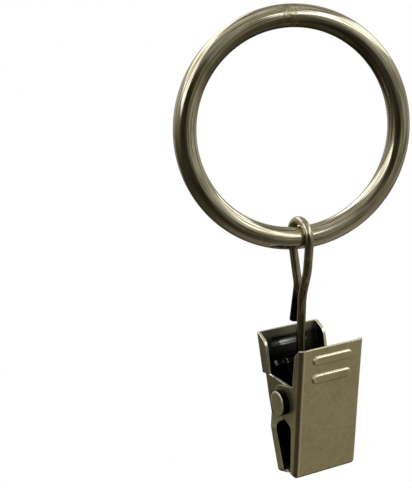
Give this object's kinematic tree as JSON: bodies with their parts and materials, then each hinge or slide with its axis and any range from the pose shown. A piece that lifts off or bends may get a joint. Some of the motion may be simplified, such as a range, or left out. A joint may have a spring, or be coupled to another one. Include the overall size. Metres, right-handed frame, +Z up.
{
  "type": "curtain ring with clip",
  "caption": "Round metal ring for a curtain rod, with a wire hook sliding on it that carries a sprung sheet-metal clip for the curtain's edge.",
  "frame": {"origin": "centre of the ring, where the curtain rod passes", "axes": "+Y along the curtain rod, +Z up; the clip hangs towards -Z and its front handle faces -Y, turned 15 degrees towards +X"},
  "size_m": [0.047, 0.0204, 0.0926],
  "materials": {
    "plated_rod": "antique brass plating, satin",
    "plated_wire": "antique brass plating, satin",
    "plated_sheet": "antique brass plating, satin",
    "plated_pin": "antique brass plating, satin",
    "spring_steel": "black oiled spring steel"
  },
  "bodies": {
    "ring": {"ring": "plated_rod"},
    "hook": {"hook_wire": "plated_wire"},
    "pin": {"pivot_pin": "plated_pin", "torsion_spring": "spring_steel"},
    "front_jaw": {"front_jaw": "plated_sheet"},
    "rear_jaw": {"rear_jaw": "plated_sheet"}
  },
  "joints": [
    {"name": "hook_travel", "type": "hinge", "parent": "ring", "child": "hook", "pos_m": [0, 0, 0], "axis": [0, 1, 0], "continuous": true},
    {"name": "clip_swing", "type": "hinge", "parent": "hook", "child": "pin", "pos_m": [0.00016, -0.00058, -0.0533], "axis": [0.9659, 0.2588, 0], "range_deg": [-12, 4]},
    {"name": "front_jaw_open", "type": "hinge", "parent": "pin", "child": "front_jaw", "pos_m": [0.00016, -0.00058, -0.0533], "axis": [-0.9659, -0.2588, 0], "range_deg": [0, 11], "deforming": ["torsion_spring"]},
    {"name": "rear_jaw_open", "type": "hinge", "parent": "pin", "child": "rear_jaw", "pos_m": [0.00016, -0.00058, -0.0533], "axis": [0.9659, 0.2588, 0], "range_deg": [0, 11]}
  ],
  "couplings": [
    {"joint": "rear_jaw_open", "follows": "front_jaw_open", "ratio": 1}
  ]
}
